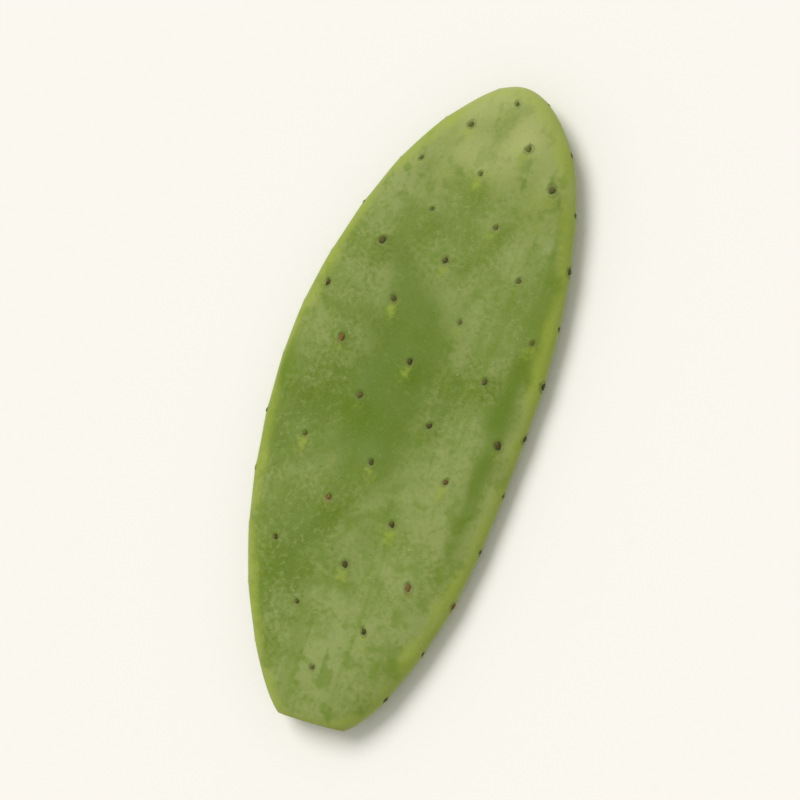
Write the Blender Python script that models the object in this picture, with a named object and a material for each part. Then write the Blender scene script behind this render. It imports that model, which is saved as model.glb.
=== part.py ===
"""Prickly pear cactus pad (nopal): one flat stem segment, picked by a cut through its joint.

The pad lies on one of its broad faces. Metres, +Z up, +Y towards the tip. The origin is under
the middle of the pad's box, on the surface that the pad lies on.

One rule shapes the whole skin. Each point starts on a plan disc of radius 1, as (across, along),
with the tip at (0, 1), the joint at (0, -1) and the rim round the edge. The disc is stretched to
the egg-shaped outline, given a thickness that rounds off at the rim, and curled up at the ends.
The areoles, the small felted spots that spines grow from, stand on that skin.
"""

import math
import random

import bpy
import bmesh
from mathutils import Matrix, Vector

# Outline, in metres
WIDTH = 0.094
TIP_REACH = 0.112  # from the widest line to the tip
JOINT_REACH = 0.120  # from the widest line to the point where the outline would close
KNIFE_AT = 0.955  # the share of JOINT_REACH that the knife leaves
KNIFE_SLANT = math.radians(5)
JOINT_TAPER = 0.15  # how much narrower than an ellipse the outline is at the joint
BOW = 0.0085  # how far the tip and the joint swing to +X of the middle
WAVES = ((5, 0.008, -0.75), (9, 0.004, -0.6))  # the outline's slow waves: count, share, phase

# Thickness and curl
THICKNESS = 0.0115
RIM_DEPTH = 0.005  # how far in from the outline the rim's rounding reaches
LENS = 0.15  # the share of the thickness that is lost from the middle to the sides
HEEL = 0.16  # the share of the thickness that is gained towards the joint
TIP_CURL = 0.0040
JOINT_CURL = 0.0036
SIDE_CURL = 0.0010
TWIST = 0.0012
BELLY_FLAT = 0.0003  # how much of the belly is pressed flat where the pad rests

# Areoles
ROW_PITCH = 0.0180
COLUMN_PITCH = 0.0270
FIRST_ROW = 0.0060  # from the tip
YOUNG_REACH = 0.0500  # how far from the tip the rows crowd together
YOUNG_PITCH = 0.6  # the share of the row pitch that is left at the tip
SIDE_CLEAR = 0.0055  # from a face's areole to the outline
KNIFE_CLEAR = 0.0090
RIM_PITCH = 0.0200
STRAY = 0.0016  # how far an areole strays from its even place
AREOLE_ACROSS = 0.0024
AREOLE_ALONG = 0.0029
AREOLE_HEIGHT = 0.0006
SEED = 7

# Fineness of the skin's mesh
SEGMENTS = 64
RINGS = 32


def taper(along):
    """Share of the ellipse's width that the outline keeps, as it narrows towards the joint."""
    return 1 - JOINT_TAPER * max(0.0, -along) ** 3


def reach(along):
    """Length of the outline's half that a disc point lies in."""
    return TIP_REACH if along > 0 else JOINT_REACH


def plan(across, along):
    """Place (x, y) of a disc point: stretched, tapered, slightly waved and bowed to one side."""
    turn = math.atan2(along, across)
    wave = sum(share * math.sin(count * turn + phase) for count, share, phase in WAVES)
    scale = 1 + wave * math.hypot(across, along)
    x = WIDTH / 2 * across * taper(along) * scale + BOW * along**2
    return x, reach(along) * along * scale


def half_thickness(across, along):
    """Distance from the pad's middle sheet to its skin, rounded off to nothing at the rim."""
    radius = math.hypot(across, along)
    if radius < 1e-6:
        return THICKNESS / 2
    edge_distance = radius / math.hypot(across / (WIDTH / 2 * taper(along)), along / reach(along))
    rim = math.sqrt(max(0.0, 1 - radius ** (edge_distance / RIM_DEPTH)))
    lens = 1 - LENS * across**2
    heel = 1 + HEEL * max(0.0, -along) ** 2
    return THICKNESS / 2 * rim * lens * heel


def sheet_height(across, along):
    """Height of the pad's middle sheet: its ends and sides curl up, with a slight twist."""
    curl = TIP_CURL if along > 0 else JOINT_CURL
    return curl * along**2 + SIDE_CURL * across**2 + TWIST * across * along


def skin(across, along, side):
    """Point of the skin over (side 1) or under (side -1) a disc point."""
    x, y = plan(across, along)
    return Vector((x, y, sheet_height(across, along) + side * half_thickness(across, along)))


def face_places(draw):
    """Disc points of one face's areoles: rows across the pad, every other one half a step over.

    The rows crowd together towards the tip, the pad's youngest end.
    """
    places = []
    y = TIP_REACH - FIRST_ROW
    row = 0
    while y > KNIFE_CLEAR - JOINT_REACH * KNIFE_AT:
        along = y / reach(y)
        half_width = WIDTH / 2 * taper(along) * math.sqrt(1 - along**2)
        pitch = COLUMN_PITCH * (0.8 + 0.2 * half_width / (WIDTH / 2))
        for column in range(-2, 3):
            x = (column + (row % 2) / 2) * pitch + draw.uniform(-STRAY, STRAY)
            stray_y = y + draw.uniform(-STRAY, STRAY)
            if abs(x) < half_width - SIDE_CLEAR:
                places.append((x / (WIDTH / 2 * taper(along)), stray_y / reach(y)))
        aged = min(1.0, (TIP_REACH - y) / YOUNG_REACH)
        y -= ROW_PITCH * (YOUNG_PITCH + (1 - YOUNG_PITCH) * aged)
        row += 1
    return places


def rim_places(draw):
    """Disc points of the rim's areoles, a pitch apart along the outline and clear of the knife."""
    steps = 720
    places = []
    walked = 0.0
    wanted = RIM_PITCH / 2
    before = plan(0, -1)
    for step in range(1, steps):
        turn = 2 * math.pi * step / steps - math.pi / 2
        across, along = math.cos(turn), math.sin(turn)
        here = plan(across, along)
        walked += math.dist(before, here)
        before = here
        if walked > wanted:
            wanted += RIM_PITCH + draw.uniform(-STRAY, STRAY)
            if here[1] > KNIFE_CLEAR - JOINT_REACH * KNIFE_AT:
                places.append((across, along))
    return places


def standing(place, outward, tipward):
    """Matrix that stands a shape at a place, its z axis outward and its y axis towards the tip."""
    z = outward.normalized()
    x = tipward.cross(z).normalized()
    turned = Matrix((x, z.cross(x), z)).transposed()
    return Matrix.Translation(place) @ turned.to_4x4()


def face_standings(draw, side):
    """Matrices of one face's areoles, square to the skin there."""
    step = 0.01
    matrices = []
    for across, along in face_places(draw):
        here = skin(across, along, side)
        sideways = skin(across + step, along, side) - here
        tipward = skin(across, along + step, side) - here
        matrices.append(standing(here, sideways.cross(tipward) * side, tipward))
    return matrices


def rim_standings(draw):
    """Matrices of the rim's areoles, pointing out from the outline and lying along it."""
    matrices = []
    for across, along in rim_places(draw):
        outward = Vector((across / (WIDTH / 2 * taper(along)), along / reach(along), 0))
        along_outline = Vector((-outward.y, outward.x, 0))
        matrices.append(standing(skin(across, along, 1), outward, along_outline))
    return matrices


def clear_scene():
    for existing in list(bpy.data.objects):
        bpy.data.objects.remove(existing, do_unlink=True)


def new_collection(name):
    collection = bpy.data.collections.new(name)
    bpy.context.scene.collection.children.link(collection)
    return collection


def skin_material():
    """Waxy green skin."""
    material = bpy.data.materials.new("cactus_skin")
    material.use_nodes = True
    shader = material.node_tree.nodes["Principled BSDF"]
    shader.inputs["Base Color"].default_value = (0.215, 0.275, 0.075, 1)
    shader.inputs["Roughness"].default_value = 0.5
    shader.inputs["Metallic"].default_value = 0.0
    return material


def make_body(collection):
    """The pad itself: a unit sphere's points, each taken to the skin over or under its plan."""
    bpy.ops.mesh.primitive_uv_sphere_add(segments=SEGMENTS, ring_count=RINGS, radius=1)
    body = bpy.context.object
    body.name = "pad"
    body.data.name = "pad"
    for vertex in body.data.vertices:
        across, along, up = vertex.co
        vertex.co = skin(across, along, 1 if up > 0 else -1)
    body.data.shade_smooth()
    for holder in list(body.users_collection):
        holder.objects.unlink(body)
    collection.objects.link(body)
    return body


def areole_mesh():
    """A small low cushion, longer towards the tip, whose lower half roots it in the skin."""
    mesh = bpy.data.meshes.new("areole")
    shape = bmesh.new()
    bmesh.ops.create_uvsphere(shape, u_segments=8, v_segments=4, radius=1)
    half_size = Vector((AREOLE_ACROSS / 2, AREOLE_ALONG / 2, AREOLE_HEIGHT))
    bmesh.ops.scale(shape, vec=half_size, verts=shape.verts)
    shape.to_mesh(mesh)
    shape.free()
    return mesh


def fuse_areoles(body):
    """Stands an areole at every place and joins them all to the body with one union."""
    draw = random.Random(SEED)
    places = face_standings(draw, 1) + face_standings(draw, -1) + rim_standings(draw)
    areoles = new_collection("areoles")
    mesh = areole_mesh()
    for number, place in enumerate(places):
        areole = bpy.data.objects.new(f"areole_{number:02d}", mesh)
        areole.matrix_world = place
        areoles.objects.link(areole)

    union = body.modifiers.new("fuse_areoles", "BOOLEAN")
    union.operation = "UNION"
    union.operand_type = "COLLECTION"
    union.collection = areoles
    graph = bpy.context.evaluated_depsgraph_get()
    fused = bpy.data.meshes.new_from_object(body.evaluated_get(graph))
    body.modifiers.remove(union)
    body.data = fused
    for areole in list(areoles.objects):
        bpy.data.objects.remove(areole, do_unlink=True)
    bpy.data.collections.remove(areoles)


def make_cutter(name, collection, size, place, slant=0.0):
    """A box for cutting, turned about +Z by its slant and hidden from view."""
    bpy.ops.mesh.primitive_cube_add(size=1)
    cutter = bpy.context.object
    cutter.name = name
    cutter.data.transform(Matrix.Diagonal((*size, 1)))
    cutter.location = place
    cutter.rotation_euler.z = slant
    cutter.hide_render = True
    cutter.display_type = "WIRE"
    for holder in list(cutter.users_collection):
        holder.objects.unlink(cutter)
    collection.objects.link(cutter)
    return cutter


def cut(body, cutter):
    difference = body.modifiers.new(cutter.name, "BOOLEAN")
    difference.operation = "DIFFERENCE"
    difference.object = cutter


def stand_on_origin(body, others):
    """Moves everything so that the origin is under the middle of the body's box."""
    graph = bpy.context.evaluated_depsgraph_get()
    points = [vertex.co for vertex in body.evaluated_get(graph).data.vertices]
    lowest = Vector(min(point[axis] for point in points) for axis in range(3))
    highest = Vector(max(point[axis] for point in points) for axis in range(3))
    middle = (lowest + highest) / 2
    shift = -Vector((middle.x, middle.y, lowest.z))
    for moved in (body, *others):
        moved.location += shift


def main():
    clear_scene()
    parts = new_collection("prickly_pear_pad")
    cutters = new_collection("cutters")
    body = make_body(parts)
    fuse_areoles(body)

    block = 2 * WIDTH
    knife_y = -JOINT_REACH * KNIFE_AT
    knife = make_cutter(
        "knife",
        cutters,
        (block, block, block),
        (BOW * KNIFE_AT**2 + block / 2 * math.sin(KNIFE_SLANT), knife_y - block / 2, 0),
        KNIFE_SLANT,
    )
    table_z = BELLY_FLAT - THICKNESS / 2
    table = make_cutter(
        "table", cutters, (block, 4 * block, WIDTH), (0, 0, table_z - WIDTH / 2)
    )
    cut(body, knife)
    cut(body, table)
    body.data.materials.clear()
    body.data.materials.append(skin_material())
    stand_on_origin(body, (knife, table))


main()
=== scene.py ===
"""Fine visual model of a prickly pear cactus pad (nopal), picked and laid on a pale surface.

Metres, in the part's own frame: +Y from the cut joint to the tip, +Z up out of the upper face,
the surface at z = 0. Every point of the pad starts on a plan disc of radius 1, as (across,
along), with the tip at (0, 1) and the joint at (0, -1). The disc is stretched to the egg-shaped
outline, given a thickness that rounds off at the rim, and curled up at its ends.
"""

import math
import random

import bpy
import numpy as np
from mathutils import Matrix


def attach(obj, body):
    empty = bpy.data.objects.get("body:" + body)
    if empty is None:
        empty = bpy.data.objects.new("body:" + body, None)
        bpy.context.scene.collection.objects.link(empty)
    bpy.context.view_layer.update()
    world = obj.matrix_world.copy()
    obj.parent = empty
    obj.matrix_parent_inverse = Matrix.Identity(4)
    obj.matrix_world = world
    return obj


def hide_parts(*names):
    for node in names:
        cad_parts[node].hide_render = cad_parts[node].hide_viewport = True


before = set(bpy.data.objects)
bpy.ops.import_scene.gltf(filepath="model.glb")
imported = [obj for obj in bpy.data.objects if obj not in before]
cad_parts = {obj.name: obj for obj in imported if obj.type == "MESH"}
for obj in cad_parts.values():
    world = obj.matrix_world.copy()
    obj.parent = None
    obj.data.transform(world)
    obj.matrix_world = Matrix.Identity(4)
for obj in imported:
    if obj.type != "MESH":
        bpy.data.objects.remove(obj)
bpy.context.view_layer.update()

MM = 0.001

# The pad's form, in metres
WIDTH = 0.094
TIP_REACH = 0.112
JOINT_REACH = 0.120
KNIFE_AT = 0.955
KNIFE_SLANT = math.radians(5)
JOINT_TAPER = 0.15
BOW = 0.0085
WAVES = ((5, 0.008, -0.75), (9, 0.004, -0.6))
THICKNESS = 0.0115
RIM_DEPTH = 0.005
LENS = 0.15
HEEL = 0.16
TIP_CURL = 0.0040
JOINT_CURL = 0.0036
SIDE_CURL = 0.0010
TWIST = 0.0012
BELLY_FLAT = 0.0003
BELLY_LEVEL = BELLY_FLAT - THICKNESS / 2

# The areoles' lattice
ROW_PITCH = 0.0180
COLUMN_PITCH = 0.0270
FIRST_ROW = 0.0060
YOUNG_REACH = 0.0500
YOUNG_PITCH = 0.6
SIDE_CLEAR = 0.0055
KNIFE_CLEAR = 0.0090
RIM_PITCH = 0.0200
STRAY = 0.0016
AREOLE_HEIGHT = 0.0006
SEED = 7

# How the areoles differ: each has numbers of its own, drawn between these
LOOKS_SEED = 11
SIZES = (0.62, 1.22)
SWELLINGS = (0.7, 1.2)
STREAKS = (0.1, 1.1)
FEW_STRONG = 1.6  # the power that makes strong streaks rare
SWAYS = (-0.35, 0.35)  # how its marks slant
RUSTS = (0.5, 1.0)
RUSTY_SHARE = (0.05, 0.60)  # how many are rusty, at the tip and at the joint
RIM_SWELLING = 0.3  # every rim areole's swelling
RIM_STREAK = 0.3  # a rim areole's streak, as a share of a face areole's

# Relief and marks of the skin, in millimetres
SWELLING_HEIGHT = 0.65
SWELLING_REACH = (4.4, 6.0)  # to the side and lengthwise
SWELLING_BELOW = 2.0  # how far its top is from the areole, towards the joint
LIP_HEIGHT = 0.12
LIP_AT = 1.5  # from the areole's middle
LIP_REACH = 0.5
PIT_DEPTH = 0.42
PIT_REACH = 1.05
PIT_STRETCH = 1.2  # how much longer than wide the pit and the lip are
STREAK_BELOW = 2.6  # how far its middle is from the areole, plus its strength
STREAK_REACH = (1.5, 2.2)  # to the side and lengthwise
STREAK_GAIN = (0.8, 1.6)  # how much further it reaches for each 1 of its strength
RUST_BELOW = 1.2
RUST_REACH = (1.6, 2.2)
AREOLE_REACH = 3.5  # how far through the pad an areole still shows
DIPS_HEIGHT = 0.34
DIPS_FADE = 9  # how far in from the outline the dips fade out
PUCKER_HEIGHT = 0.05
CALM_END = 3.6  # how far from the cut the relief fades out

# Where a hand has rubbed the bloom off: middles and reaches as (x, y), in metres
PALM = (-0.004, 0.004)
PALM_REACH = (0.017, 0.046)
FINGERS = (0.047, -0.010)
FINGERS_REACH = (0.030, 0.050)
FINGERS_IN = (9, 4)  # millimetres in from the outline: their middle and reach
FINGERS_SHARE = 0.8

# The dips' and the puckers' wavelengths, in metres, and their seeds over and under the pad
DIPS = (0.071, 0.052, 0.043, 0.034, 0.029)
DIPS_SEEDS = (3, 4)
PUCKERS = (0.017, 0.014, 0.012, 0.0095, 0.008)
PUCKERS_SEEDS = (5, 6)

# Areoles: felt cushions and bristle stubs, in millimetres
CUSHION = (0.82, 1.02, 0.30)  # half of its width, half of its length, half of its height
CUSHION_SUNK = 0.12  # how far its middle is below the skin round it
LOBES = (0.14, 0.11)  # the shares by which two lobes and three lobes stand out round it
TUFTS = (0.84, 1.16)  # its felt's reach, drawn for each point
BRISTLES = 22
BRISTLE_LENGTH = (0.30, 0.66)
BRISTLE_RADIUS = 0.055
BRISTLE_FAN = (-0.15, 1.15)  # half turns, from the areole's side by way of the tip's direction
BRISTLE_ROOTS = (0.25, 0.8)  # shares of the way from the cushion's middle to its edge
BRISTLE_ROOT_HEIGHT = 0.4  # above the cushion's middle, as a share of half of its height
BRISTLE_LEANS = (0.1, 0.9)  # how far they lean away for each 1 that they rise

# The cut: the skin's dried bead as steps in from the edge and out of the cut, in millimetres
CUT_OUTWARD = np.array([math.sin(KNIFE_SLANT), -math.cos(KNIFE_SLANT), 0.0])
CUT_BEAD = ((0.12, 0.14), (0.35, 0.20), (0.60, 0.10), (0.75, -0.50))
FLESH_INSET = 0.62
FLESH_LIFT = 0.05  # of the flesh's edge out of the cut
FLESH_BULGE = 0.35
FLESH_BACK = 0.45  # how far the flesh goes in
VEINS = 18
VEIN_RING = 0.42  # the share of the way from the flesh's edge to its middle
VEIN_RADIUS = (0.32, 0.52)
VEIN_HEIGHT = 0.12
VEIN_STRAY = 0.25  # the share of the step between two veins
VEIN_SEED = 21

# Fineness of the grids
FLESH_RINGS = 24
CUSHION_RINGS = 9
CUSHION_COLUMNS = 16
ROWS = 350
HALF_FACE = 68  # steps from the midline to the rim
TIP_EASE = 0.03  # how evenly the rows start at the tip
RIM_EASE = 0.12  # and the columns at the rim
GATHER = 0.45  # the share of the way to an areole that the points beside it are drawn
GATHER_WITHIN = 0.0032  # metres


# ---------------------------------------------------------------- the pad's rule


def taper(along):
    """Share of the ellipse's width that the outline keeps.

    It narrows towards the joint by the cube of the way there.
    """
    return 1 - JOINT_TAPER * np.maximum(0.0, -along) ** 3


def reach(along):
    """Length of the outline's half that a disc point lies in."""
    return np.where(along > 0, TIP_REACH, JOINT_REACH)


def plan(across, along):
    """Place x, y of a disc point: stretched, tapered, slightly waved and bowed to one side.

    The waves are sines of its angle, and the bow grows with the square of the way to an end.
    """
    turn = np.arctan2(along, across)
    wave = sum(share * np.sin(count * turn + phase) for count, share, phase in WAVES)
    scale = 1 + wave * np.hypot(across, along)
    x = WIDTH / 2 * across * taper(along) * scale + BOW * along**2
    return x, reach(along) * along * scale


def tangent_distance(across, along):
    """Distance from the disc's middle to the outline's tangent, in the point's direction."""
    radius = np.maximum(np.hypot(across, along), 1e-6)
    slope = np.hypot(across / (WIDTH / 2 * taper(along)), along / reach(along))
    return radius / np.maximum(slope, 1e-6)


def edge_distance(across, along):
    """Distance of a disc point from the outline, in metres."""
    radius = np.clip(np.hypot(across, along), 0, 1)
    return (1 - radius) * tangent_distance(across, along)


def half_thickness(across, along):
    """Distance from the middle sheet to the skin, rounded off to nothing at the rim.

    The rim is the root of one minus a power of the radius, whose slope fits RIM_DEPTH. Squares of
    the way thin the pad to its sides and thicken it to its heel.
    """
    radius = np.clip(np.hypot(across, along), 1e-6, 1)
    rim = np.sqrt(1 - radius ** (tangent_distance(across, along) / RIM_DEPTH))
    heel = 1 + HEEL * np.maximum(0.0, -along) ** 2
    return THICKNESS / 2 * rim * (1 - LENS * across**2) * heel


def sheet_height(across, along):
    """Height of the middle sheet, with a slight twist.

    Its ends and sides curl up by squares of the way there.
    """
    curl = np.where(along > 0, TIP_CURL, JOINT_CURL)
    return curl * along**2 + SIDE_CURL * across**2 + TWIST * across * along


def skin(across, along, side):
    """Points of the skin over (side 1) or under (side -1) disc points, as rows of x, y, z.

    The belly is pressed flat where the pad rests on it.
    """
    x, y = plan(across, along)
    z = sheet_height(across, along) + side * half_thickness(across, along)
    return np.stack(np.broadcast_arrays(x, y, np.maximum(z, BELLY_LEVEL)), axis=-1)


def unit(vectors):
    """The same directions, each of length 1."""
    return vectors / np.maximum(np.linalg.norm(vectors, axis=-1, keepdims=True), 1e-12)


# ---------------------------------------------------------------- where the areoles stand


def face_places(draw):
    """Disc points of one face's areoles: rows across the pad, every other one half a step over.

    The rows crowd together towards the tip, the pad's youngest end.
    """
    places = []
    y = TIP_REACH - FIRST_ROW
    row = 0
    while y > KNIFE_CLEAR - JOINT_REACH * KNIFE_AT:
        along = y / float(reach(y))
        ellipse = WIDTH / 2 * float(taper(along))
        half_width = ellipse * math.sqrt(1 - along**2)
        pitch = COLUMN_PITCH * (0.8 + 0.2 * half_width / (WIDTH / 2))
        for column in range(-2, 3):
            x = (column + (row % 2) / 2) * pitch + draw.uniform(-STRAY, STRAY)
            stray_y = y + draw.uniform(-STRAY, STRAY)
            if abs(x) < half_width - SIDE_CLEAR:
                places.append((x / ellipse, stray_y / float(reach(y))))
        aged = min(1.0, (TIP_REACH - y) / YOUNG_REACH)
        y -= ROW_PITCH * (YOUNG_PITCH + (1 - YOUNG_PITCH) * aged)
        row += 1
    return np.array(places).T


def rim_places(draw):
    """Disc points of the rim's areoles, a pitch apart along the outline and clear of the knife."""
    steps = 720
    turns = 2 * math.pi * np.arange(steps) / steps - math.pi / 2
    outline = np.stack(plan(np.cos(turns), np.sin(turns)), axis=-1)
    walked = np.cumsum(np.linalg.norm(np.diff(outline, axis=0), axis=1))
    places = []
    wanted = RIM_PITCH / 2
    for turn, (_, y), distance in zip(turns[1:], outline[1:], walked):
        if distance > wanted:
            wanted += RIM_PITCH + draw.uniform(-STRAY, STRAY)
            if y > KNIFE_CLEAR - JOINT_REACH * KNIFE_AT:
                places.append((math.cos(turn), math.sin(turn)))
    return np.array(places).T


def face_stands(across, along, side):
    """Place, sideways, tipward and outward directions of each areole on one face."""
    step = 0.01
    here = skin(across, along, side)
    tipward = unit(skin(across, along + step, side) - here)
    sideways = skin(across + step, along, side) - here
    outward = unit(np.cross(sideways, tipward) * side)
    return np.stack([here, np.cross(tipward, outward), tipward, outward], axis=1)


def rim_stands(across, along):
    """The same for each areole on the rim, with tipward along the outline."""
    here = skin(across, along, 1)
    slope_x = across / (WIDTH / 2 * taper(along))
    slope_y = along / reach(along)
    outward = unit(np.stack([slope_x, slope_y, 0 * slope_x], axis=-1))
    towards = np.where(across > 0, 1.0, -1.0)[:, None]
    tipward = np.cross([0.0, 0.0, 1.0], outward) * towards
    return np.stack([here, np.cross(tipward, outward), tipward, outward], axis=1)


# ---------------------------------------------------------------- the skin


def eased(steps, ease):
    """Numbers from 0 to 1, close together near 0: the square of a step over that step plus ease."""
    return steps**2 * (1 + ease) / (steps + ease)


def skin_grid():
    """Disc points and sides of the skin's grid.

    Rows run from the tip to the knife's cut and are close together at the tip. Columns run once
    round the section: over the top from +X to -X and back underneath, close together at the rim.
    """
    from_rim = eased(np.linspace(0, 1, HALF_FACE + 1), RIM_EASE)
    half = 1 - from_rim
    over = np.concatenate([half, -half[-2::-1]])
    share = np.concatenate([over, over[-2:0:-1]])
    side = np.concatenate([np.ones(len(over)), -np.ones(len(over) - 2)])

    # The last row meets the slanted knife: each pass takes its points most of the way that is left
    knife_along = np.full(len(share), -KNIFE_AT)
    for _ in range(6):
        across = share * np.sqrt(1 - knife_along**2)
        x, y = plan(across, knife_along)
        wanted = -JOINT_REACH * KNIFE_AT + (x - BOW * KNIFE_AT**2) * math.tan(KNIFE_SLANT)
        knife_along = knife_along + (wanted - y) / JOINT_REACH

    down = eased(np.linspace(0, 1, ROWS + 1), TIP_EASE)[:, None]
    along = 1 - down * (1 - knife_along)
    across = share * np.sqrt(np.maximum(0.0, 1 - along**2))
    return across, along, np.broadcast_to(side, along.shape)


def gathered(across, along, on_face, places):
    """The grid drawn closer round each areole of a face, so that its pit is finely drawn.

    A point goes part of the way to the areole: the share is a bell curve of the distance. Points
    of the other face and of the rim stay.
    """
    inside = np.clip(edge_distance(across, along) / GATHER_WITHIN, 0, 1) * on_face
    for near_across, near_along in places.T:
        beside = (across - near_across) * WIDTH / 2
        above = (along - near_along) * reach(along)
        pull = GATHER * inside * np.exp(-(beside**2 + above**2) / GATHER_WITHIN**2)
        across = across - pull * (across - near_across)
        along = along - pull * (along - near_along)
    return across, along


def grid_normals(points):
    """Outward directions of a grid whose columns close up: square to its rows and columns."""
    down = np.gradient(points, axis=0)
    around = np.roll(points, -1, axis=1) - np.roll(points, 1, axis=1)
    normals = unit(np.cross(around, down))
    normals[0] = (0.0, 1.0, 0.0)
    return normals


def soft_waves(x, y, seed, wavelengths):
    """A gently uneven sheet: sine waves of chosen lengths, each in a random direction."""
    draw = np.random.default_rng(seed)
    total = np.zeros_like(x)
    for wavelength in wavelengths:
        heading, phase = draw.uniform(0, 2 * math.pi, 2)
        run = x * math.cos(heading) + y * math.sin(heading)
        total += np.sin(2 * math.pi * run / wavelength + phase)
    return total / math.sqrt(len(wavelengths))


def bell(*shares):
    """1 where every share is 0, fading as a bell curve of their joint size."""
    return np.exp(-sum(share**2 for share in shares))


def areole_fields(points, areoles):
    """What the areoles do to the skin round them, at every point of the skin.

    Each areole gives a low swelling whose top is a little towards the joint, a raised lip, and a
    pit for its cushion. Below it lies a streak of yellower skin, and rusty skin lies round some.
    All are bell curves of the distance from the areole to the side (u) and towards the tip (w),
    in millimetres. They fade through the pad's thickness, so that the other face stays clear.
    """
    swelling, lip, pit, streak, rust = (np.zeros(points.shape[:-1]) for _ in range(5))
    for stand, size, swell, glow, sway, rusty in zip(*areoles.values()):
        place, sideways, tipward, outward = stand
        offset = (points - place) / MM
        u = offset @ sideways
        w = offset @ tipward
        level = bell(offset @ outward / AREOLE_REACH)
        low = bell(u / SWELLING_REACH[0], (w + SWELLING_BELOW) / SWELLING_REACH[1])
        swelling += swell * size * level * low
        ring = np.hypot(u - sway * w, w / PIT_STRETCH) / size
        lip += level * bell((ring - LIP_AT) / LIP_REACH)
        pit += level * bell(ring / PIT_REACH)
        beside = (u - sway * (w + 1)) / (STREAK_REACH[0] + STREAK_GAIN[0] * glow)
        below = (w + STREAK_BELOW + glow) / (STREAK_REACH[1] + STREAK_GAIN[1] * glow)
        streak += glow * level * bell(beside, below)
        rust += rusty * level * bell(u / RUST_REACH[0], (w + RUST_BELOW) / RUST_REACH[1])
    return swelling, lip, pit, streak, rust


def soft_relief(points, side, edge_mm, swelling):
    """Height of the skin's soft unevenness, in millimetres.

    It is the areoles' swellings and, on the faces, broad dips and fine puckers: sums of sine waves
    that fade out towards the rim.
    """
    x, y = points[..., 0], points[..., 1]
    face = np.clip(edge_mm / DIPS_FADE, 0, 1)
    face = face * face * (3 - 2 * face)
    dips_over, dips_under = (soft_waves(x, y, seed, DIPS) for seed in DIPS_SEEDS)
    puckers_over, puckers_under = (soft_waves(x, y, seed, PUCKERS) for seed in PUCKERS_SEEDS)
    dips = np.where(side > 0, dips_over, dips_under)
    puckers = np.where(side > 0, puckers_over, puckers_under)
    return SWELLING_HEIGHT * swelling + face * (DIPS_HEIGHT * dips + PUCKER_HEIGHT * puckers)


def pressed(points):
    """The points, with what the surface under the pad would press kept level with the belly."""
    level = points.copy()
    level[..., 2] = np.maximum(level[..., 2], BELLY_LEVEL)
    return level


def capped_faces(rings, columns):
    """Squares of a closed tube of points, ring after ring, and triangles to its two end points.

    The first end's point comes before all rings and the last end's after them. Faces point out
    where a ring runs clockwise as seen from the first end.
    """
    corner = 1 + np.arange((rings - 1) * columns).reshape(rings - 1, columns)
    beside = np.roll(corner, -1, axis=1)
    squares = np.stack([corner, beside, beside + columns, corner + columns], axis=-1)
    first = 1 + np.arange(columns)
    last = first + (rings - 1) * columns
    first_end = np.stack([0 * first, np.roll(first, -1), first], axis=-1)
    last_end = np.stack([last, np.roll(last, -1), 0 * last + rings * columns + 1], axis=-1)
    return squares.reshape(-1, 4), np.concatenate([first_end, last_end])


def make_piece(name, points, face_groups, material, fields=None):
    """A smooth mesh object, with one number a point for each field, that rides with the pad.

    Points come as copies of one shape, and each group of faces is repeated for every copy. SHIFT
    takes them from the rule's axes to the part's frame.
    """
    copies, points_each = points.shape[:2]
    first_points = points_each * np.arange(copies)[:, None, None]
    faces = []
    for group in face_groups:
        faces += (group + first_points).reshape(-1, group.shape[1]).tolist()
    mesh = bpy.data.meshes.new(name)
    mesh.from_pydata((pressed(points) + SHIFT).reshape(-1, 3), [], faces)
    mesh.shade_smooth()
    mesh.materials.append(material)
    for field, values in (fields or {}).items():
        attribute = mesh.attributes.new(field, "FLOAT", "POINT")
        attribute.data.foreach_set("value", np.asarray(values, np.float32).ravel())
    piece = bpy.data.objects.new(name, mesh)
    bpy.context.scene.collection.objects.link(piece)
    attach(piece, "root")
    return piece


def inward_of(ring):
    """Directions, in the plane of the cut, from a closed ring of points to its inside.

    Each is square to the cut's outward direction and to the ring's run.
    """
    run = np.roll(ring, -1, axis=0) - np.roll(ring, 1, axis=0)
    return unit(np.cross(CUT_OUTWARD, run))


def grip_marks(points, edge_mm):
    """Where a hand has rubbed the bloom off: a palm's mark and, by the +X rim, the fingers'.

    Both are bell curves of the distance from the mark's middle, and the fingers' one is also one
    of the distance from the outline.
    """
    palm = (points[..., :2] - PALM) / PALM_REACH
    fingers = (points[..., :2] - FINGERS) / FINGERS_REACH
    fingers_in = (edge_mm - FINGERS_IN[0]) / FINGERS_IN[1]
    rubbed = bell(palm[..., 0], palm[..., 1])
    return rubbed + FINGERS_SHARE * bell(fingers_in, fingers[..., 0], fingers[..., 1])


def to_ends(grid):
    """A grid's values for the whole skin: the tip's, the grid's, then the bead's and the floor's.

    The bead and the floor take the last row's.
    """
    bead = np.repeat(grid[-1:], len(CUT_BEAD), axis=0)
    return np.concatenate([grid[0, :1], grid[1:].ravel(), bead.ravel(), grid[-1, :1]])


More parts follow.
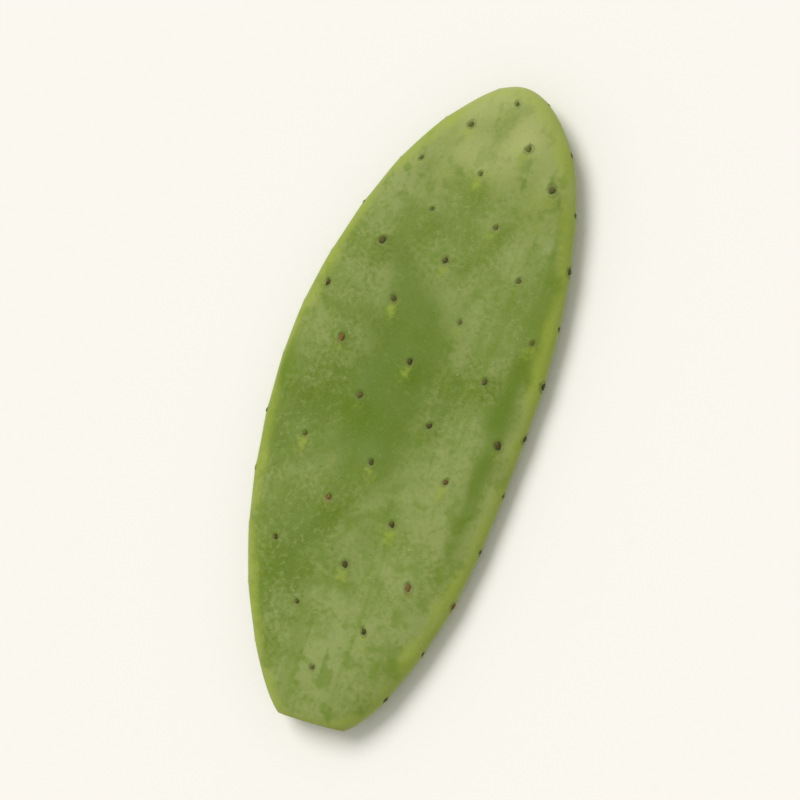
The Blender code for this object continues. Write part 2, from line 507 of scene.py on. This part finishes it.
def make_skin(across, along, side, areoles):
    """The pad's whole skin: the tip's point, the grid, the cut's bead and a floor behind the flesh.

    Relief goes along the normals: first the soft relief, which the surface presses flat under the
    belly, and then the areoles' lips and pits. All of it fades out just before the cut.
    """
    base = skin(across, along, side)
    edge_mm = edge_distance(across, along) / MM
    swelling, lip, pit, streak, rust = areole_fields(base, areoles)
    cut_mm = (along - along[-1]) * JOINT_REACH / MM
    outward = grid_normals(base) * np.clip(cut_mm / CALM_END, 0, 1)[..., None] * MM
    points = pressed(base + outward * soft_relief(base, side, edge_mm, swelling)[..., None])
    points += outward * (LIP_HEIGHT * lip - PIT_DEPTH * pit)[..., None]

    edge = points[-1]
    inward = inward_of(edge)
    steps_in, steps_out = np.array(CUT_BEAD).T[..., None, None] * MM
    bead = edge + inward * steps_in + CUT_OUTWARD * steps_out
    floor = bead[-1].mean(axis=0)
    rows, bead_rows = points[1:].reshape(-1, 3), bead.reshape(-1, 3)
    shape = np.concatenate([points[0, :1], rows, bead_rows, floor[None]])
    fields = {
        "edge_mm": to_ends(edge_mm),
        "along": to_ends(along),
        "grip": to_ends(grip_marks(base, edge_mm)),
        "streak": to_ends(streak),
        "rust": to_ends(rust),
        "lip": to_ends(lip),
        "pit": to_ends(pit),
        "cut_mm": to_ends(cut_mm),
    }
    faces = capped_faces(ROWS + len(CUT_BEAD), points.shape[1])
    return make_piece("pad_skin", shape[None], faces, waxy_cactus_skin(), fields), edge


# ---------------------------------------------------------------- the cut joint


def make_flesh(edge):
    """The cut's moist flesh, a shallow closed lens inside the skin's bead.

    Its face swells as one minus the square of the distance from the middle. The veins show as a
    flattened ring of small raised dots, about evenly spaced round the cut.
    """
    outer = edge + inward_of(edge) * FLESH_INSET * MM
    middle = outer.mean(axis=0)
    inner = np.linspace(0, 1, FLESH_RINGS, endpoint=False)[:, None, None]
    flat = outer + (middle - outer) * inner
    to_skin = FLESH_INSET + np.linalg.norm(flat - outer, axis=-1) / MM

    vein_ring = outer + (middle - outer) * VEIN_RING
    walked = np.cumsum(np.linalg.norm(vein_ring - np.roll(vein_ring, 1, axis=0), axis=1))
    draw = np.random.default_rng(VEIN_SEED)
    stray = draw.uniform(-VEIN_STRAY, VEIN_STRAY, VEINS)
    wanted = (np.arange(VEINS) + stray) / VEINS * walked[-1]
    veins = vein_ring[np.searchsorted(walked, np.clip(wanted, 0, walked[-1]))]
    vein = np.zeros(flat.shape[:-1])
    for place, radius in zip(veins, draw.uniform(*VEIN_RADIUS, VEINS)):
        vein += bell(np.linalg.norm(flat - place, axis=-1) / (radius * MM))

    bulge = 1 - (1 - inner[..., 0]) ** 2
    height = FLESH_LIFT + FLESH_BULGE * bulge + VEIN_HEIGHT * vein
    face = flat + CUT_OUTWARD * height[..., None] * MM
    back = outer - CUT_OUTWARD * FLESH_BACK * MM
    shape = np.concatenate(
        [back.mean(axis=0)[None], back, face.reshape(-1, 3), face[-1].mean(axis=0)[None]]
    )
    fields = {}
    for name, values in {"to_skin_mm": to_skin, "vein": vein}.items():
        fields[name] = np.concatenate([values[0, :1], values[0], values.ravel(), values[-1, :1]])
    faces = capped_faces(FLESH_RINGS + 1, len(edge))
    return make_piece("cut_flesh", shape[None], faces, moist_cut_flesh(), fields)


# ---------------------------------------------------------------- areoles


def make_cushions(areoles, age, draw):
    """Felt cushions in the areoles' pits: flattened balls, longer towards the tip.

    Sine waves round each ball give it lobes, and its points stand out at random as tufts.
    """
    down = np.linspace(0, math.pi, CUSHION_RINGS + 2)[1:-1, None]
    turn = 2 * math.pi * np.arange(CUSHION_COLUMNS) / CUSHION_COLUMNS
    ball = np.stack(
        np.broadcast_arrays(np.sin(down) * np.sin(turn), np.sin(down) * np.cos(turn), np.cos(down)),
        axis=-1,
    ).reshape(-1, 3)
    ball = np.concatenate([[(0, 0, 1)], ball, [(0, 0, -1)]])
    stands = areoles["stand"]
    count = len(stands)
    about = np.arctan2(ball[:, 1], ball[:, 0])
    phases = draw.uniform(0, 2 * math.pi, (2, count, 1))
    two, three = np.sin(2 * about + phases[0]), np.sin(3 * about + phases[1])
    lobes = 1 + LOBES[0] * two + LOBES[1] * three
    tufts = draw.uniform(*TUFTS, (count, len(ball)))
    size = areoles["size"][:, None] * lobes * tufts
    local = ball * size[..., None] * np.array(CUSHION) * MM
    local[..., 2] -= CUSHION_SUNK * MM
    points = stands[:, None, 0] + local @ stands[:, 1:]
    shade = draw.uniform(0, 1, count)
    fields = {
        "rusty": np.repeat(areoles["rust"], len(ball)),
        "shade": np.repeat(shade, len(ball)),
        "age": np.repeat(age, len(ball)),
        # height on the ball, which paints a highlight on the felt's crown
        "crown_highlight": np.tile(ball[:, 2], count),
    }
    faces = capped_faces(CUSHION_RINGS, CUSHION_COLUMNS)
    return make_piece("areole_felt", points, faces, woolly_areole_felt(), fields)


def make_bristles(areoles, draw):
    """Stubs of the short barbed bristles: three-sided needles that fan out of each cushion.

    They stand in an arc on the tipward side, rooted in the felt and leaning away from its middle.
    Those that would reach below the surface that the pad lies on are rubbed off.
    """
    stands = np.repeat(areoles["stand"], BRISTLES, axis=0)
    size = np.repeat(areoles["size"], BRISTLES)[:, None]
    place, sideways, tipward, outward = stands.transpose(1, 0, 2)
    count = len(stands)
    turn = draw.uniform(BRISTLE_FAN[0] * math.pi, BRISTLE_FAN[1] * math.pi, count)[:, None]
    spread = draw.uniform(*BRISTLE_ROOTS, count)[:, None] * size
    lean = draw.uniform(*BRISTLE_LEANS, count)[:, None]
    length = draw.uniform(*BRISTLE_LENGTH, count)[:, None] * size
    away = sideways * np.cos(turn) + tipward * np.sin(turn)
    half_width, half_length, half_height = CUSHION
    in_felt = sideways * np.cos(turn) * half_width + tipward * np.sin(turn) * half_length
    root_height = half_height * BRISTLE_ROOT_HEIGHT - CUSHION_SUNK
    root = place + (in_felt * spread + outward * root_height) * MM
    way = unit(outward + away * lean)
    askew = 0.37  # turns the needles' corners off the areole's own directions
    first = unit(np.cross(way, sideways + askew * tipward))
    second = np.cross(way, first)
    corners = []
    for corner in range(3):
        angle = 2 * math.pi * corner / 3
        ray = first * math.cos(angle) + second * math.sin(angle)
        corners.append(root + ray * BRISTLE_RADIUS * MM)
    points = np.stack([*corners, root + way * length * MM], axis=1)
    points = points[points[..., 2].min(axis=1) > BELLY_LEVEL]
    sides = np.array([(0, 1, 3), (1, 2, 3), (2, 0, 3), (0, 2, 1)])
    fields = {"tipness": np.tile((0, 0, 0, 1), len(points))}
    return make_piece("glochid_stubs", points, (sides,), horny_bristle(), fields)


# ---------------------------------------------------------------- materials


def linear(hex_colour):
    """An sRGB colour such as "7C8E46" as linear red, green, blue and 1."""
    shares = [int(hex_colour[at : at + 2], 16) / 255 for at in (0, 2, 4)]
    return [s / 12.92 if s <= 0.04045 else ((s + 0.055) / 1.055) ** 2.4 for s in shares] + [1.0]


def feed(node, inputs):
    """Sets a node's inputs, each to a value or by a link from another node's output."""
    for name, value in inputs.items():
        if isinstance(value, bpy.types.NodeSocket):
            node.id_data.links.new(value, node.inputs[name])
        else:
            node.inputs[name].default_value = value


def add(tree, kind, inputs, output=0, **settings):
    """Adds a shader node with its settings and inputs, and gives back one of its outputs."""
    node = tree.nodes.new("ShaderNode" + kind)
    for name, value in settings.items():
        setattr(node, name, value)
    feed(node, inputs)
    return node.outputs[output]


def lay(tree, colour, value, low, high, share, over):
    """A colour laid over another, by up to a share, where a value goes from low to high."""
    amount = add(
        tree,
        "MapRange",
        {"Value": value, "From Min": low, "From Max": high, "To Max": share},
        interpolation_type="SMOOTHSTEP",
    )
    return add(tree, "Mix", {0: amount, 6: colour, 7: linear(over)}, 2, data_type="RGBA")


def spaced(spacing_mm):
    """Scale of a pattern whose features are that far apart."""
    return 1 / (spacing_mm * MM)


def new_material(name):
    material = bpy.data.materials.new(name)
    material.use_nodes = True
    return material, material.node_tree, material.node_tree.nodes["Principled BSDF"]


def waxy_cactus_skin():
    """Living cactus skin, a tough waxed cuticle.

    It is matt and dusty where its grey bloom is thick, glossier where that is thin, deeper green
    where it is rubbed off, and yellower at the rim and the tip.
    """
    material, tree, shader = new_material("waxy_cactus_skin")
    place = add(tree, "TexCoord", {}, "Object")
    lengthwise = add(tree, "Mapping", {"Vector": place, "Scale": (1.0, 0.1, 1.0)})
    slant = {"Vector": place, "Rotation": (0, 0, 0.6), "Scale": (1.0, 0.06, 1.0)}
    slantwise = add(tree, "Mapping", slant)
    grown = {
        field: add(tree, "Attribute", {}, "Fac", attribute_name=field)
        for field in ("edge_mm", "along", "grip", "streak", "rust", "lip", "pit", "cut_mm")
    }
    for name, vector, spacing_mm, detail, warp in (
        ("grain", place, 1.7, 2, 0.0),  # the bloom's powder, drawn coarser to show
        ("broken", place, 1.8, 4, 0.0),  # frays the edges of marks
        ("wander", place, 18, 1, 0.0),  # bends the rim's band and the rubbed marks
        ("age", place, 48, 2, 0.2),
        ("veins", lengthwise, 3.4, 2, 0.0),
        ("bloom", place, 28, 4, 0.3),
        ("thin", lengthwise, 8, 4, 0.2),
        ("spots", place, 7, 4, 0.3),
        ("scuffs", slantwise, 3, 3, 0.0),
    ):
        pattern = {
            "Vector": vector,
            "Scale": spaced(spacing_mm),
            "Detail": detail,
            "Roughness": 0.5,
            "Distortion": warp,
        }
        grown[name] = add(tree, "TexNoise", pattern)

    colour = linear("60780C")
    for what, broken_by, much, low, high, share, over in (
        ("age", "grain", 0.0, 0.35, 0.65, 0.60, "758A2C"),  # older, yellower green
        ("veins", "grain", 0.0, 0.46, 0.72, 0.20, "8A983A"),  # veins under the skin
        ("along", "wander", 0.6, 0.74, 1.3, 0.80, "A5AE5C"),  # the tip is the youngest and palest
        ("edge_mm", "wander", 12.0, 14.5, 7.5, 0.35, "8FA044"),  # the rim's yellower band
        ("edge_mm", "wander", 12.0, 12.0, 7.0, 0.72, "9AA83A"),
        ("bloom", "grain", 0.5, 0.60, 0.94, 0.80, "929E5C"),  # grey wax bloom, a fine powder
        ("broken", "spots", 0.5, 0.78, 0.98, 0.34, "9CA56C"),  # thicker in specks
        ("thin", "grain", 0.3, 0.68, 0.86, 0.65, "67801A"),  # bloom rubbed thin lengthwise
        ("spots", "grain", 0.3, 0.64, 0.82, 0.65, "67811A"),  # and worn through in spots
        ("scuffs", "grain", 0.1, 0.72, 0.78, 0.30, "6A8226"),  # slantwise scuffs
        ("veins", "spots", 0.4, 0.84, 0.98, 0.40, "5E7A1A"),  # fine lengthwise creases
        ("grip", "wander", 1.0, 0.6, 1.3, 0.82, "5C7608"),  # off where a hand has held it
        # The rim's band and the pale tip once more, over what is rubbed
        ("edge_mm", "wander", 11.0, 11.0, 6.2, 0.52, "9CAB42"),
        # painted shade: a darker green at the very rim, where it rounds away
        ("edge_mm", "spots", 9.0, 8.2, 5.0, 0.30, "879A36"),
        ("along", "wander", 0.6, 0.95, 1.35, 0.65, "A8B069"),
        ("edge_mm", "broken", 1.0, 2.2, 0.8, 0.40, "94A54A"),  # greyer at the very edge
        ("streak", "broken", 2.2, 1.25, 2.4, 0.80, "93A432"),  # yellow-green below each areole
        ("rust", "broken", 2.2, 1.50, 2.2, 0.62, "A0763F"),  # dry rusty skin round some areoles
        ("lip", "broken", 1.2, 0.80, 1.7, 0.65, "5F6B1E"),  # darker round every areole
        ("pit", "broken", 1.0, 0.65, 1.2, 0.90, "484F1E"),  # and darkest in its pit: painted shade in the hollow
        ("cut_mm", "broken", 1.0, 3.5, 0.8, 0.50, "8D9446"),  # drying at the cut
    ):
        value = add(
            tree, "Math", {0: grown[broken_by], 1: much, 2: grown[what]}, operation="MULTIPLY_ADD"
        )
        colour = lay(tree, colour, value, low, high, share, over)
    for spacing_mm, rare, low, high, share, over in (
        (3.6, 0.35, 0.17, 0.06, 0.45, "AEB872"),  # flecks of thick wax
        (1.3, 0.20, 0.24, 0.12, 0.14, "B0B874"),  # breathing pores, drawn coarser to show
        (17, 0.20, 0.06, 0.04, 0.60, "8A7A46"),  # a few corky scars
    ):
        cells = add(tree, "TexVoronoi", {"Vector": place, "Scale": spaced(spacing_mm)}, "Distance")
        chance = add(tree, "TexVoronoi", {"Vector": place, "Scale": spaced(spacing_mm)}, "Color")
        dots = add(tree, "Math", {0: chance, 1: rare, 2: cells}, operation="MULTIPLY_ADD")
        colour = lay(tree, colour, dots, low, high, share, over)

    fibres = add(tree, "TexNoise", {"Vector": lengthwise, "Scale": spaced(3.0), "Detail": 3})
    pores = add(tree, "TexNoise", {"Vector": place, "Scale": spaced(0.5), "Detail": 3})
    height = add(tree, "Math", {0: fibres, 1: 0.6, 2: pores}, operation="MULTIPLY_ADD")
    bump = add(tree, "Bump", {"Height": height, "Strength": 0.9, "Distance": 0.12 * MM})
    dullness = {
        "Value": grown["bloom"],
        "From Min": 0.35,
        "From Max": 0.65,
        "To Min": 0.40,
        "To Max": 0.56,
    }
    feed(
        shader,
        {
            "Base Color": colour,
            "Roughness": add(tree, "MapRange", dullness),
            "Normal": bump,
            "IOR": 1.40,
            "Specular IOR Level": 0.32,
            "Subsurface Weight": 0.12,
            "Subsurface Radius": (1.0, 1.0, 0.3),
            "Subsurface Scale": 1.5 * MM,
            "Sheen Weight": 0.03,
            "Sheen Roughness": 0.5,
        },
    )
    return material


def moist_cut_flesh():
    """Freshly cut cactus flesh: a green layer under the skin, paler in the middle, with cream
    vein ends.

    It is wet and smooth, and light goes some way into it.
    """
    material, tree, shader = new_material("moist_cut_flesh")
    place = add(tree, "TexCoord", {}, "Object")
    colour = linear("86A02E")
    for field, low, high, share, over in (
        ("to_skin_mm", 0.9, 2.2, 1.0, "AFBA4C"),
        ("to_skin_mm", 2.5, 6.0, 0.8, "C6CC74"),
        ("vein", 0.15, 0.5, 0.5, "93A640"),
        ("vein", 0.55, 0.95, 0.8, "E0DFB0"),
    ):
        value = add(tree, "Attribute", {}, "Fac", attribute_name=field)
        colour = lay(tree, colour, value, low, high, share, over)
    grain = add(tree, "TexNoise", {"Vector": place, "Scale": spaced(0.9), "Detail": 3})
    colour = lay(tree, colour, grain, 0.5, 0.75, 0.35, "D3D68C")
    bump = add(tree, "Bump", {"Height": grain, "Strength": 0.4, "Distance": 0.10 * MM})
    feed(
        shader,
        {
            "Base Color": colour,
            "Roughness": 0.32,
            "Normal": bump,
            "IOR": 1.40,
            "Subsurface Weight": 0.35,
            "Subsurface Radius": (1.0, 1.0, 0.4),
            "Subsurface Scale": 2.5 * MM,
        },
    )
    return material


def woolly_areole_felt():
    """Felt of short hairs: dull and soft, olive brown, with a painted highlight on its crown and
    painted shade in its depths.

    It is greener towards the young tip and partly rusty towards the joint.
    """
    material, tree, shader = new_material("woolly_areole_felt")
    place = add(tree, "TexCoord", {}, "Object")
    colour = linear("3E3D17")
    for field, low, high, share, over in (
        ("shade", 0.1, 1.0, 0.9, "6A6A32"),
        ("age", 0.45, 0.0, 0.6, "68743A"),
        ("rusty", 0.2, 0.9, 0.8, "8A5A30"),
        # painted highlight on the crown, with the depths left darker as painted shade
        ("crown_highlight", 0.4, 1.0, 0.25, "5E572C"),
    ):
        value = add(tree, "Attribute", {}, "Fac", attribute_name=field)
        colour = lay(tree, colour, value, low, high, share, over)
    hairs = add(tree, "TexNoise", {"Vector": place, "Scale": spaced(0.25), "Detail": 3})
    colour = lay(tree, colour, hairs, 0.45, 0.75, 0.4, "807748")
    bump = add(tree, "Bump", {"Height": hairs, "Strength": 0.8, "Distance": 0.12 * MM})
    feed(
        shader,
        {
            "Base Color": colour,
            "Roughness": 0.9,
            "Normal": bump,
            "Specular IOR Level": 0.2,
            "Sheen Weight": 0.1,
            "Sheen Roughness": 0.4,
        },
    )
    return material


def horny_bristle():
    """Short barbed bristles, horny and slightly glossy: brown at the root, straw at the point."""
    material, tree, shader = new_material("horny_bristle")
    tipness = add(tree, "Attribute", {}, "Fac", attribute_name="tipness")
    colour = lay(tree, linear("5E4A22"), tipness, 0.0, 0.9, 1.0, "CDBB7C")
    feed(shader, {"Base Color": colour, "Roughness": 0.4, "IOR": 1.54})
    return material


# ---------------------------------------------------------------- light, floor and camera


def make_floor():
    """A plain pale surface, just under the pad."""
    bpy.ops.mesh.primitive_plane_add(size=6, location=(0, 0, -0.05 * MM))
    floor = bpy.context.object
    floor.name = "floor"
    material, _, shader = new_material("pale_floor")
    feed(shader, {"Base Color": linear("F7F5F0"), "Roughness": 0.8, "Specular IOR Level": 0.1})
    floor.data.materials.append(material)


def make_lights():
    """One large soft light from the upper left and an even pale surround."""
    world = bpy.data.worlds.new("soft_surround")
    world.use_nodes = True
    feed(world.node_tree.nodes["Background"], {"Color": linear("FFFEFA"), "Strength": 0.52})
    bpy.context.scene.world = world
    sun = bpy.data.lights.new("large_soft_light", "SUN")
    sun.energy = 1.915
    sun.angle = math.radians(34)
    sun.color = (1.0, 0.99, 0.97)
    lamp = bpy.data.objects.new("large_soft_light", sun)
    lamp.rotation_euler = (math.radians(-20), math.radians(-26), 0)
    bpy.context.scene.collection.objects.link(lamp)


def make_camera():
    """Looks down on the upper face from over the pad's +X side, with the tip up and to the right."""
    swing = math.radians(21)
    lean = math.radians(19.1)
    back = np.array([math.sin(swing), 0.0, math.cos(swing)])
    tip = np.array([0.0, 1.0, 0.0])
    beside = np.cross(tip, back)
    up = math.cos(lean) * tip - math.sin(lean) * beside
    right = math.cos(lean) * beside + math.sin(lean) * tip
    middle = np.array([0.0, 0.0, 0.007])
    distance = 0.80
    camera = bpy.data.objects.new("camera", bpy.data.cameras.new("camera"))
    camera.data.lens = 105
    camera.data.clip_start = 0.01
    matrix = np.eye(4)
    matrix[:3] = np.stack([right, up, back, middle + back * distance], axis=1)
    camera.matrix_world = Matrix(matrix.tolist())
    bpy.context.scene.collection.objects.link(camera)
    bpy.context.scene.camera = camera


# ---------------------------------------------------------------- the whole pad

make_camera()
make_lights()
make_floor()
bpy.context.scene.view_settings.view_transform = "Standard"

seeded = random.Random(SEED)
over_places = face_places(seeded)
under_places = face_places(seeded)
edge_places = rim_places(seeded)
stands = (face_stands(*over_places, 1), face_stands(*under_places, -1), rim_stands(*edge_places))
counts = [len(group) for group in stands]
count = sum(counts)
on_rim = np.repeat((0, 0, 1), counts)
places = np.concatenate([over_places, under_places, edge_places], axis=1)
age = (1 - places[1]) / 2
rusty_chance = RUSTY_SHARE[0] + (RUSTY_SHARE[1] - RUSTY_SHARE[0]) * age
draw = np.random.default_rng(LOOKS_SEED)
areoles = {
    "stand": np.concatenate(stands),
    "size": draw.uniform(*SIZES, count),
    "swell": np.where(on_rim, RIM_SWELLING, draw.uniform(*SWELLINGS, count)),
    "glow": draw.uniform(*STREAKS, count) ** FEW_STRONG * np.where(on_rim, RIM_STREAK, 1),
    "sway": draw.uniform(*SWAYS, count),
    "rust": draw.uniform(*RUSTS, count) * (draw.uniform(0, 1, count) < rusty_chance),
}

across, along, side = skin_grid()
across, along = gathered(across, along, side > 0, over_places)
across, along = gathered(across, along, side < 0, under_places)

# The origin is under the middle of the box of the skin and the areoles' tops
tops = areoles["stand"][:, 0] + areoles["stand"][:, 3] * AREOLE_HEIGHT
reached = np.concatenate([skin(across, along, side).reshape(-1, 3), tops])
SHIFT = -(reached.min(axis=0) + reached.max(axis=0)) / 2
SHIFT[2] = -BELLY_LEVEL

# The areoles ride up and down with the soft relief under them
rooted = areoles["stand"][:, 0]
from_edge = edge_distance(*places) / MM
sides = np.repeat((1, -1, 1), counts)
lift = soft_relief(rooted, sides, from_edge, areole_fields(rooted, areoles)[0])
areoles["stand"][:, 0] = pressed(rooted + areoles["stand"][:, 3] * lift[:, None] * MM)

pad_skin, cut_edge = make_skin(across, along, side, areoles)
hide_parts("pad")
make_flesh(cut_edge)
make_cushions(areoles, age, draw)
make_bristles(areoles, draw)
